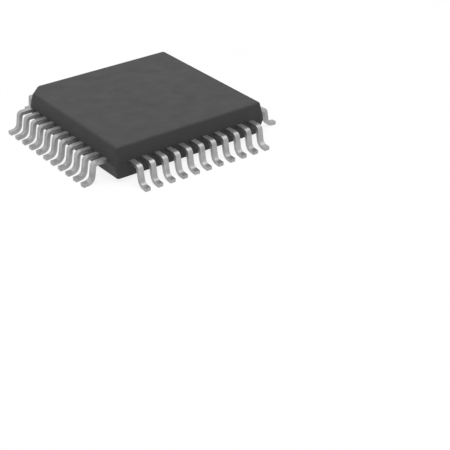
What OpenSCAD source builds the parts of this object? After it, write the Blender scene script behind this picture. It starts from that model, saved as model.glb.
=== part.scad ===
// Quad flat pack chip with gull-wing leads on all four sides.
// The board lies in the XY plane at z = 0 and the feet stand on it.
// The large corner chamfer at -X +Y marks pin 1, and the pins run counter-clockwise from it.

/* [Moulded body] */
// Width of the square body across its parting line
body_width = 9.95; // [9.8:0.05:12]
// Thickness of the moulding above the middle of the lead frame
upper_depth = 0.975; // [0.8:0.005:1.6]
// Thickness of the moulding below the middle of the lead frame
lower_depth = 0.99; // [0.8:0.005:1.6]
// Gap between the board and the underside of the body
standoff = 0.17; // [0.05:0.01:0.5]
// Height of the upright band along the parting line
land_height = 0.24; // [0.2:0.01:0.4]
// Draft of the upper side walls in degrees
upper_draft = 10; // [3:0.5:15]
// Draft of the lower side walls in degrees
lower_draft = 13.5; // [3:0.5:16]
// Leg of the large chamfer at the pin 1 corner
pin1_chamfer = 0.78; // [0.4:0.01:0.8]
// Radius on the upright edges
corner_radius = 0.12; // [0.05:0.01:0.3]
// Radius on the top and bottom edges
edge_radius = 0.13; // [0.03:0.01:0.2]

/* [Leads] */
// Number of leads on each side
leads_per_side = 11; // [3:1:11]
// Distance from the middle of the last lead on a side to the corner of the body
corner_margin = 0.975; // [0.95:0.005:1.6]
// Width of one lead
lead_width = 0.32; // [0.2:0.01:0.35]
// Thickness of the strip that the leads and the die pad are stamped from
strip_thickness = 0.21; // [0.12:0.01:0.24]
// Distance from the side of the body to the tip of a lead
lead_reach = 1.555; // [1.4:0.005:2.2]
// Distance from the side of the body to the corner of the shoulder
shoulder_reach = 0.795; // [0.45:0.005:1]
// Outward lean of the leg in degrees
leg_lean = 9; // [0:0.5:12]
// Slope of the foot down to its tip in degrees
foot_tilt = 4; // [0:0.5:8]
// Inside radius of the bend at the shoulder
shoulder_bend = 0.08; // [0.05:0.01:0.2]
// Inside radius of the bend above the foot
foot_bend = 0.3; // [0.08:0.01:0.35]

/* [Lead frame inside the body] */
// Straight length of each lead behind the side of the body
anchor_length = 0.5; // [0.3:0.05:0.8]
// Distance between neighbouring inner lead tips
tip_pitch = 0.46; // [0.4:0.01:0.5]
// Width of an inner lead at its tip
tip_width = 0.24; // [0.15:0.01:0.28]
// Gap between the die pad and the inner lead tips
tip_gap = 0.35; // [0.2:0.01:0.5]
// Width of the square die pad
pad_width = 5; // [4:0.1:5.4]
// Drop of the die pad below the leads
pad_drop = 0.3; // [0.2:0.01:0.4]
// Width of the bars that tie the die pad to the body corners
tie_bar_width = 0.25; // [0.15:0.01:0.3]
// Moulding left over the end of each tie bar
tie_bar_cover = 0.15; // [0.1:0.01:0.5]

/* [Die and wires] */
// Width of the square silicon die
die_width = 3.4; // [2.8:0.1:3.8]
// Thickness of the silicon die
die_thickness = 0.35; // [0.2:0.01:0.4]
// Thickness of the adhesive under the die
glue_thickness = 0.03; // [0.02:0.01:0.06]
// Squeeze-out of the adhesive around the die
glue_margin = 0.1; // [0.05:0.01:0.15]
// Distance between neighbouring wire landings on the die
landing_pitch = 0.27; // [0.2:0.01:0.27]
// Distance from the edge of the die to the wire landings
landing_inset = 0.15; // [0.1:0.01:0.2]
// Distance from an inner lead tip to the wire on it
stitch_inset = 0.15; // [0.1:0.01:0.2]
// Diameter of the bond wire
wire_diameter = 0.033; // [0.025:0.001:0.05]
// Diameter of the flattened wire ends
wire_end_diameter = 0.1; // [0.08:0.01:0.14]
// Height of the flattened wire ends
wire_end_height = 0.035; // [0.03:0.001:0.05]
// Rise of the wire over the straight line between its ends
loop_rise = 0.25; // [0.15:0.01:0.35]

/* [Hidden] */
$fn = 48;

lead_count = 4 * leads_per_side;
half_body = body_width / 2;
lead_pitch = (body_width - 2 * corner_margin) / (leads_per_side - 1);
lead_z = standoff + lower_depth;
half_strip = strip_thickness / 2;
strip_bottom = lead_z - half_strip;
strip_top = lead_z + half_strip;
body_bottom = standoff;
body_top = lead_z + upper_depth;

// The gull wing on the middle of the strip, as [distance from the axis, height].
// The leg and the foot run straight to the bends, whose corners are where the straights would meet.
shoulder_radius = shoulder_bend + half_strip;
foot_radius = foot_bend + half_strip;
shoulder_turn = 90 - leg_lean;
foot_turn = 90 - leg_lean - foot_tilt;
leg_slope = tan(leg_lean);
foot_slope = tan(foot_tilt);
shoulder_corner = [half_body + shoulder_reach, lead_z];
foot_tip = [half_body + lead_reach - half_strip * sin(foot_tilt), half_strip * cos(foot_tilt)];
foot_run = foot_tip.x - shoulder_corner.x - lead_z * leg_slope;
foot_corner_z = (foot_tip.y + foot_run * foot_slope) / (1 - leg_slope * foot_slope);
foot_corner = [shoulder_corner.x + (lead_z - foot_corner_z) * leg_slope, foot_corner_z];
shoulder_centre = shoulder_corner - shoulder_radius * [tan(shoulder_turn / 2), 1];
foot_centre = foot_corner
    + foot_radius * tan(foot_turn / 2) * [-sin(leg_lean), cos(leg_lean)]
    + foot_radius * [cos(leg_lean), sin(leg_lean)];

// Inner leads and the stack on the die pad
anchor_end = half_body - anchor_length;
tip_x = pad_width / 2 + tip_gap;
pad_top = strip_top - pad_drop;
die_bottom = pad_top + glue_thickness;
die_top = die_bottom + die_thickness;

function padded(number) = str(number < 10 ? "0" : "", number);
function lead_name(number) = str("lead_", padded(number));
function side_of(number) = floor((number - 1) / leads_per_side);
function place_of(number) = (number - 1) % leads_per_side - (leads_per_side - 1) / 2;
function polar(centre, radius, angle) = centre + radius * [cos(angle), sin(angle)];

// The side of the moulding as a list of [half width, height], from the underside to the top.
corner_steps = 6;
edge_steps = 5;
land_bottom = lead_z - land_height / 2;
land_top = lead_z + land_height / 2;
function wall(draft, rise) = half_body - rise * tan(draft);
function edge_centre(draft, rise) = wall(draft, rise) - edge_radius / cos(draft);
lower_edge = edge_centre(lower_draft, land_bottom - body_bottom - edge_radius);
upper_edge = edge_centre(upper_draft, body_top - edge_radius - land_top);
side_profile = concat(
    [for (step = [0:edge_steps])
        polar([lower_edge, body_bottom + edge_radius], edge_radius,
            -90 + step * (90 - lower_draft) / edge_steps)],
    [[half_body, land_bottom], [half_body, land_top]],
    [for (step = [0:edge_steps])
        polar([upper_edge, body_top - edge_radius], edge_radius,
            upper_draft + step * (90 - upper_draft) / edge_steps)]
);

// The plan of the moulding at one level: a square with one chamfer, its upright edges rounded.
chamfer_back = corner_radius * tan(22.5);
function rounded(corner, from, to) =
    [for (step = [0:corner_steps])
        polar(corner, corner_radius, from + step * (to - from) / corner_steps)];
function plan(half) =
    let (core = half - corner_radius, leg = half - pin1_chamfer - chamfer_back)
    concat(
        rounded([core, core], 0, 90),
        rounded([-leg, core], 90, 135),
        rounded([-core, leg], 135, 180),
        rounded([-core, -core], 180, 270),
        rounded([core, -core], 270, 360)
    );

module moulding() {
    levels = len(side_profile);
    around = len(plan(half_body));
    polyhedron(
        points = [for (level = side_profile) for (point = plan(level[0])) [point.x, point.y, level[1]]],
        faces = concat(
            [[for (i = [0:around - 1]) i]],
            [[for (i = [around - 1:-1:0]) (levels - 1) * around + i]],
            [for (level = [0:levels - 2]) for (i = [0:around - 1])
                [level * around + i, (level + 1) * around + i,
                    (level + 1) * around + (i + 1) % around, level * around + (i + 1) % around]]
        )
    );
}

// Moves a lead drawn on the +X side to its own side and place.
module at_side(number) {
    rotate([0, 0, 180 + 90 * side_of(number)]) children();
}

// The flat of one lead, from the inner tip through the side of the body to the shoulder.
module flat_run(number) {
    outer_y = place_of(number) * lead_pitch;
    tip_y = place_of(number) * tip_pitch;
    translate([0, 0, strip_bottom]) linear_extrude(strip_thickness) polygon([
        [tip_x, tip_y - tip_width / 2],
        [anchor_end, outer_y - lead_width / 2],
        [shoulder_centre.x, outer_y - lead_width / 2],
        [shoulder_centre.x, outer_y + lead_width / 2],
        [anchor_end, outer_y + lead_width / 2],
        [tip_x, tip_y + tip_width / 2]
    ]);
}

// The strip bent round a centre in the upright plane, from one angle through a turn.
module bend(centre, radius, start, turn) {
    rotate([90, 0, 0]) translate(centre) rotate([0, 0, start]) rotate_extrude(angle = turn)
        translate([radius - half_strip, -lead_width / 2]) square([strip_thickness, lead_width]);
}

// A straight length of the strip in the upright plane, between two ends given as [lower, upper].
module straight(from, to) {
    rotate([90, 0, 0]) linear_extrude(lead_width, center = true)
        polygon([from[0], to[0], to[1], from[1]]);
}

// The two surface points of the strip across its middle line, in the direction of an angle.
function across(middle, angle) = [polar(middle, half_strip, angle + 180), polar(middle, half_strip, angle)];

// The gull wing of one lead outside the body: shoulder bend, leg, foot bend and foot.
module gull_wing() {
    leg_top = polar(shoulder_centre, shoulder_radius, leg_lean);
    leg_foot = polar(foot_centre, foot_radius, 180 + leg_lean);
    heel = polar(foot_centre, foot_radius, 270 - foot_tilt);
    bend(shoulder_centre, shoulder_radius, leg_lean, shoulder_turn);
    straight(across(leg_top, leg_lean), across(leg_foot, leg_lean));
    bend(foot_centre, foot_radius, 180 + leg_lean, foot_turn);
    straight(across(heel, 90 - foot_tilt), across(foot_tip, 90 - foot_tilt));
}

module lead(number) {
    color("silver") at_side(number) {
        flat_run(number);
        translate([0, place_of(number) * lead_pitch, 0]) gull_wing();
    }
}

// Distance from the middle of the body to the moulding's surface along a diagonal.
function corner_distance(side) =
    side == 1 ? (body_width - pin1_chamfer) / sqrt(2)
        : (half_body - corner_radius) * sqrt(2) + corner_radius;

// One bar from a corner of the die pad up to the level of the leads and out to the body's corner.
module tie_bar(side) {
    pad_corner = pad_width / sqrt(2);
    bend_end = pad_corner + 1.5 * pad_drop;
    bar_end = corner_distance(side) - tie_bar_cover;
    rotate([0, 0, 45 + 90 * side]) rotate([90, 0, 0])
        linear_extrude(tie_bar_width, center = true) polygon([
            [pad_corner - tie_bar_width, pad_top - strip_thickness],
            [pad_corner, pad_top - strip_thickness],
            [bend_end, strip_bottom],
            [bar_end, strip_bottom],
            [bar_end, strip_top],
            [bend_end, strip_top],
            [pad_corner, pad_top],
            [pad_corner - tie_bar_width, pad_top]
        ]);
}

module die_pad() {
    color("peru") {
        translate([-pad_width / 2, -pad_width / 2, pad_top - strip_thickness])
            cube([pad_width, pad_width, strip_thickness]);
        for (side = [0:3]) tie_bar(side);
    }
}

module die_attach() {
    glue_width = die_width + 2 * glue_margin;
    color("gainsboro") translate([-glue_width / 2, -glue_width / 2, pad_top])
        cube([glue_width, glue_width, glue_thickness]);
}

module silicon_die() {
    color("slategray") translate([-die_width / 2, -die_width / 2, die_bottom])
        cube([die_width, die_width, die_thickness]);
}

// One bond wire: a flattened end on the die, an arc, and a flattened end on its inner lead.
module bond_wire(number) {
    place = place_of(number);
    slope = place * (lead_pitch - tip_pitch) / (anchor_end - tip_x);
    from = [die_width / 2 - landing_inset, place * landing_pitch];
    to = [tip_x + stitch_inset, place * tip_pitch + slope * stitch_inset];
    reach = norm(to - from);
    heading = atan2(to.y - from.y, to.x - from.x);
    middle_z = wire_end_height / 2;
    fall = strip_top - die_top;
    chord = norm([reach, fall]);
    tilt = atan2(fall, reach);
    radius = chord * chord / (8 * loop_rise) + loop_rise / 2;
    half_angle = asin(chord / 2 / radius);
    centre = [
        reach / 2 + (radius - loop_rise) * sin(tilt),
        (die_top + strip_top) / 2 + middle_z - (radius - loop_rise) * cos(tilt)
    ];
    at_side(number) {
        translate([from.x, from.y, die_top]) cylinder(h = wire_end_height, d = wire_end_diameter);
        translate([to.x, to.y, strip_top]) cylinder(h = wire_end_height, d = wire_end_diameter);
        translate([from.x, from.y, 0]) rotate([0, 0, heading]) rotate([90, 0, 0]) translate(centre)
            rotate([0, 0, tilt + 90 - half_angle]) rotate_extrude(angle = 2 * half_angle)
                translate([radius, 0]) circle(d = wire_diameter, $fn = 16);
    }
}

module bond_wires() {
    color("gold") for (number = [1:lead_count]) bond_wire(number);
}

// The mould compound fills all the space round the lead frame, the die and the wires.
module package_body() {
    color([0.2, 0.2, 0.21]) difference() {
        moulding();
        for (number = [1:lead_count]) at_side(number) flat_run(number);
        die_pad();
        die_attach();
        silicon_die();
        bond_wires();
    }
}

package_body();
die_pad();
die_attach();
silicon_die();
bond_wires();
for (number = [1:lead_count]) lead(number);
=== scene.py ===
import bpy
import math
from mathutils import Matrix, Vector

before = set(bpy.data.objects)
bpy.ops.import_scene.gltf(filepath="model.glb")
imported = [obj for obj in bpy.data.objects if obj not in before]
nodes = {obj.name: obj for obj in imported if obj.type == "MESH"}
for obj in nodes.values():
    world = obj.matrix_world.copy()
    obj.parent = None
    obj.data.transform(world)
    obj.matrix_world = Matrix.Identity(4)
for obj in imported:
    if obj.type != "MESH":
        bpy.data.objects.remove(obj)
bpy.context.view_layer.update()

leadNames = sorted(n for n in nodes if n.startswith("lead_"))
print("loaded", len(nodes), "nodes,", len(leadNames), "leads")


# Helpers for node materials.
def newMaterial(name):
    mat = bpy.data.materials.new(name)
    mat.use_nodes = True
    tree = mat.node_tree
    tree.nodes.clear()
    out = tree.nodes.new("ShaderNodeOutputMaterial")
    bsdf = tree.nodes.new("ShaderNodeBsdfPrincipled")
    tree.links.new(bsdf.outputs["BSDF"], out.inputs["Surface"])
    return mat, tree, bsdf


def addNoise(tree, coords, scale, detail=3.0, rough=0.55):
    noise = tree.nodes.new("ShaderNodeTexNoise")
    noise.inputs["Scale"].default_value = scale
    noise.inputs["Detail"].default_value = detail
    noise.inputs["Roughness"].default_value = rough
    tree.links.new(coords, noise.inputs["Vector"])
    return noise.outputs["Fac"]


def addRamp(tree, value, low, high, start=0.35, end=0.65):
    ramp = tree.nodes.new("ShaderNodeValToRGB")
    ramp.color_ramp.elements[0].position = start
    ramp.color_ramp.elements[0].color = low
    ramp.color_ramp.elements[1].position = end
    ramp.color_ramp.elements[1].color = high
    tree.links.new(value, ramp.inputs["Fac"])
    return ramp.outputs["Color"]


def addRange(tree, value, low, high):
    rng = tree.nodes.new("ShaderNodeMapRange")
    rng.inputs["From Min"].default_value = 0.3
    rng.inputs["From Max"].default_value = 0.7
    rng.inputs["To Min"].default_value = low
    rng.inputs["To Max"].default_value = high
    tree.links.new(value, rng.inputs["Value"])
    return rng.outputs["Result"]


def addBump(tree, height, strength, distance):
    bump = tree.nodes.new("ShaderNodeBump")
    bump.inputs["Strength"].default_value = strength
    bump.inputs["Distance"].default_value = distance
    tree.links.new(height, bump.inputs["Height"])
    return bump.outputs["Normal"]


def grey(v):
    return (v, v, v, 1.0)


# The moulded epoxy of the body. Noise scales are cells per metre, heights are metres.
epoxy = {
    "dark": 0.040,          # darker flecks of the filler, linear grey
    "light": 0.050,         # lighter flecks
    "specular": 0.25,
    "roughLow": 0.55,
    "roughHigh": 0.68,
    "grainScale": 14000,
    "grainDetail": 4.0,
    "grainRoughness": 0.6,
    "cloudScale": 900,
    "cloudDetail": 2.0,
    "grainStrength": 0.25,
    "grainHeight": 0.000006,
}


def makeEpoxy():
    mat, tree, bsdf = newMaterial("mouldCompound")
    coords = tree.nodes.new("ShaderNodeTexCoord").outputs["Object"]
    grain = addNoise(tree, coords, epoxy["grainScale"], epoxy["grainDetail"], epoxy["grainRoughness"])
    cloud = addNoise(tree, coords, epoxy["cloudScale"], epoxy["cloudDetail"])
    colour = addRamp(tree, grain, grey(epoxy["dark"]), grey(epoxy["light"]))
    tree.links.new(colour, bsdf.inputs["Base Color"])
    tree.links.new(addRange(tree, cloud, epoxy["roughLow"], epoxy["roughHigh"]), bsdf.inputs["Roughness"])
    tree.links.new(addBump(tree, grain, epoxy["grainStrength"], epoxy["grainHeight"]), bsdf.inputs["Normal"])
    bsdf.inputs["Specular IOR Level"].default_value = epoxy["specular"]
    return mat


# The tin plate on the leads.
tin = {
    "dull": 0.33,
    "bright": 0.42,
    "roughLow": 0.34,
    "roughHigh": 0.48,
    "grainScale": 22000,
    "cloudScale": 1800,
    "grainStrength": 0.2,
    "grainHeight": 0.000003,
}


def makeTin():
    mat, tree, bsdf = newMaterial("tinPlate")
    coords = tree.nodes.new("ShaderNodeTexCoord").outputs["Object"]
    grain = addNoise(tree, coords, tin["grainScale"])
    cloud = addNoise(tree, coords, tin["cloudScale"])
    colour = addRamp(tree, cloud, grey(tin["dull"]), grey(tin["bright"]))
    tree.links.new(colour, bsdf.inputs["Base Color"])
    tree.links.new(addRange(tree, grain, tin["roughLow"], tin["roughHigh"]), bsdf.inputs["Roughness"])
    tree.links.new(addBump(tree, grain, tin["grainStrength"], tin["grainHeight"]), bsdf.inputs["Normal"])
    bsdf.inputs["Metallic"].default_value = 1.0
    return mat


def dress(obj, mat):
    obj.data.materials.clear()
    obj.data.materials.append(mat)


epoxyMat = makeEpoxy()
tinMat = makeTin()
dress(nodes["package_body"], epoxyMat)
for name in leadNames:
    dress(nodes[name], tinMat)

# What the moulding hides: the die pad, the adhesive, the die and the wires.
copper = {
    "name": "frameCopper",
    "dark": (0.60, 0.31, 0.18, 1.0),
    "light": (0.76, 0.44, 0.29, 1.0),
    "roughLow": 0.28,
    "roughHigh": 0.44,
    "grainScale": 9000,
    "cloudScale": 900,
    "grainHeight": 0.000004,
    "metallic": 1.0,
}
silverGlue = {
    "name": "silverAdhesive",
    "dark": (0.36, 0.36, 0.35, 1.0),
    "light": (0.58, 0.58, 0.56, 1.0),
    "roughLow": 0.50,
    "roughHigh": 0.72,
    "grainScale": 26000,
    "cloudScale": 3500,
    "grainHeight": 0.000005,
    "metallic": 0.3,
}
silicon = {
    "name": "siliconDie",
    "dark": (0.030, 0.036, 0.055, 1.0),
    "light": (0.16, 0.17, 0.20, 1.0),
    "roughLow": 0.12,
    "roughHigh": 0.24,
    "grainScale": 30000,
    "cloudScale": 4200,
    "grainHeight": 0.000001,
    "metallic": 0.4,
}
gold = {
    "name": "bondGold",
    "dark": (0.80, 0.54, 0.17, 1.0),
    "light": (0.93, 0.70, 0.30, 1.0),
    "roughLow": 0.18,
    "roughHigh": 0.30,
    "grainScale": 40000,
    "cloudScale": 5000,
    "grainHeight": 0.000001,
    "metallic": 1.0,
}


def makeGrained(look, blocks=False):
    mat, tree, bsdf = newMaterial(look["name"])
    coords = tree.nodes.new("ShaderNodeTexCoord").outputs["Object"]
    grain = addNoise(tree, coords, look["grainScale"])
    cloud = addNoise(tree, coords, look["cloudScale"], 2.0)
    if blocks:
        cells = tree.nodes.new("ShaderNodeTexVoronoi")
        cells.distance = "CHEBYCHEV"
        cells.inputs["Scale"].default_value = look["cloudScale"]
        tree.links.new(coords, cells.inputs["Vector"])
        cloud = cells.outputs["Distance"]
    colour = addRamp(tree, cloud, look["dark"], look["light"])
    tree.links.new(colour, bsdf.inputs["Base Color"])
    tree.links.new(addRange(tree, grain, look["roughLow"], look["roughHigh"]), bsdf.inputs["Roughness"])
    tree.links.new(addBump(tree, grain, 0.25, look["grainHeight"]), bsdf.inputs["Normal"])
    bsdf.inputs["Metallic"].default_value = look["metallic"]
    return mat


dress(nodes["die_pad"], makeGrained(copper))
dress(nodes["die_attach"], makeGrained(silverGlue))
dress(nodes["silicon_die"], makeGrained(silicon, blocks=True))
dress(nodes["bond_wires"], makeGrained(gold))
print("materials on body, leads and the hidden pieces")

# The floor, the light and the camera.
studio = {
    "floorGrey": 0.95,
    "floorRoughness": 0.9,
    "floorHalf": 1.5,
    "sunStrength": 2.9,
    "sunSoftness": 55,      # degrees
    "sunTilt": (8, -6),     # degrees about X and Y
    "fill": 0.12,           # world light on matt surfaces
    "glowShare": 0.85,      # part of the floor that shows plain white to the camera
}


# Picks out what the camera sees straight, in a reflection or through something clear.
def seenRay(tree):
    path = tree.nodes.new("ShaderNodeLightPath")
    either = path.outputs["Is Camera Ray"]
    for ray in ("Is Glossy Ray", "Is Transmission Ray"):
        add = tree.nodes.new("ShaderNodeMath")
        add.operation = "MAXIMUM"
        tree.links.new(either, add.inputs[0])
        tree.links.new(path.outputs[ray], add.inputs[1])
        either = add.outputs[0]
    return either


def makeFloor():
    h = studio["floorHalf"]
    mesh = bpy.data.meshes.new("floor")
    mesh.from_pydata([(-h, -h, 0), (h, -h, 0), (h, h, 0), (-h, h, 0)], [], [(0, 1, 2, 3)])
    floor = bpy.data.objects.new("floor", mesh)
    bpy.context.scene.collection.objects.link(floor)
    mat, tree, bsdf = newMaterial("floorPaint")
    bsdf.inputs["Base Color"].default_value = grey(studio["floorGrey"])
    bsdf.inputs["Roughness"].default_value = studio["floorRoughness"]
    bsdf.inputs["Specular IOR Level"].default_value = 0.0
    glow = tree.nodes.new("ShaderNodeEmission")
    glow.inputs["Color"].default_value = grey(1.0)
    share = tree.nodes.new("ShaderNodeMath")
    share.operation = "MULTIPLY"
    share.inputs[1].default_value = studio["glowShare"]
    tree.links.new(seenRay(tree), share.inputs[0])
    mix = tree.nodes.new("ShaderNodeMixShader")
    tree.links.new(share.outputs[0], mix.inputs["Fac"])
    tree.links.new(bsdf.outputs["BSDF"], mix.inputs[1])
    tree.links.new(glow.outputs[0], mix.inputs[2])
    out = next(n for n in tree.nodes if n.bl_idname == "ShaderNodeOutputMaterial")
    tree.links.new(mix.outputs[0], out.inputs["Surface"])
    mesh.materials.append(mat)


def makeWorld():
    world = bpy.data.worlds.new("studioWorld")
    bpy.context.scene.world = world
    world.use_nodes = True
    tree = world.node_tree
    tree.nodes.clear()
    out = tree.nodes.new("ShaderNodeOutputWorld")
    mix = tree.nodes.new("ShaderNodeMixShader")
    dim = tree.nodes.new("ShaderNodeBackground")
    white = tree.nodes.new("ShaderNodeBackground")
    dim.inputs["Color"].default_value = grey(1.0)
    dim.inputs["Strength"].default_value = studio["fill"]
    white.inputs["Color"].default_value = grey(1.0)
    white.inputs["Strength"].default_value = 1.0
    tree.links.new(seenRay(tree), mix.inputs["Fac"])
    tree.links.new(dim.outputs[0], mix.inputs[1])
    tree.links.new(white.outputs[0], mix.inputs[2])
    tree.links.new(mix.outputs[0], out.inputs["Surface"])


def makeSun():
    lamp = bpy.data.lights.new("overhead", "SUN")
    lamp.energy = studio["sunStrength"]
    lamp.angle = math.radians(studio["sunSoftness"])
    obj = bpy.data.objects.new("overhead", lamp)
    obj.rotation_euler = [math.radians(studio["sunTilt"][0]), math.radians(studio["sunTilt"][1]), 0]
    bpy.context.scene.collection.objects.link(obj)


makeFloor()
makeWorld()
makeSun()

# Angles in degrees, lengths in metres, lens and sensor in millimetres.
eye = {
    "azimuth": -36.788,
    "elevation": 29.874,
    "roll": -0.19,
    "distance": 0.0720025,
    "aside": -0.0047549,
    "above": 0.0055645,
    "lens": 99.24,
    "sensor": 36,
    "near": 0.001,
    "far": 20,
}


def makeCamera():
    az, el, roll = (math.radians(eye[k]) for k in ("azimuth", "elevation", "roll"))
    back = Vector((math.sin(az) * math.cos(el), -math.cos(az) * math.cos(el), math.sin(el)))
    right = Vector((math.cos(az), math.sin(az), 0))
    up = back.cross(right)
    rolledRight = right * math.cos(roll) + up * math.sin(roll)
    rolledUp = up * math.cos(roll) - right * math.sin(roll)
    cam = bpy.data.cameras.new("eye")
    cam.lens = eye["lens"]
    cam.sensor_width = eye["sensor"]
    cam.clip_start = eye["near"]
    cam.clip_end = eye["far"]
    obj = bpy.data.objects.new("eye", cam)
    place = back * eye["distance"] - rolledRight * eye["aside"] - rolledUp * eye["above"]
    turn = Matrix((rolledRight, rolledUp, back)).transposed().to_4x4()
    obj.matrix_world = Matrix.Translation(place) @ turn
    bpy.context.scene.collection.objects.link(obj)
    bpy.context.scene.camera = obj


makeCamera()
bpy.context.scene.view_settings.view_transform = "Standard"
print("floor, lamp and camera placed")
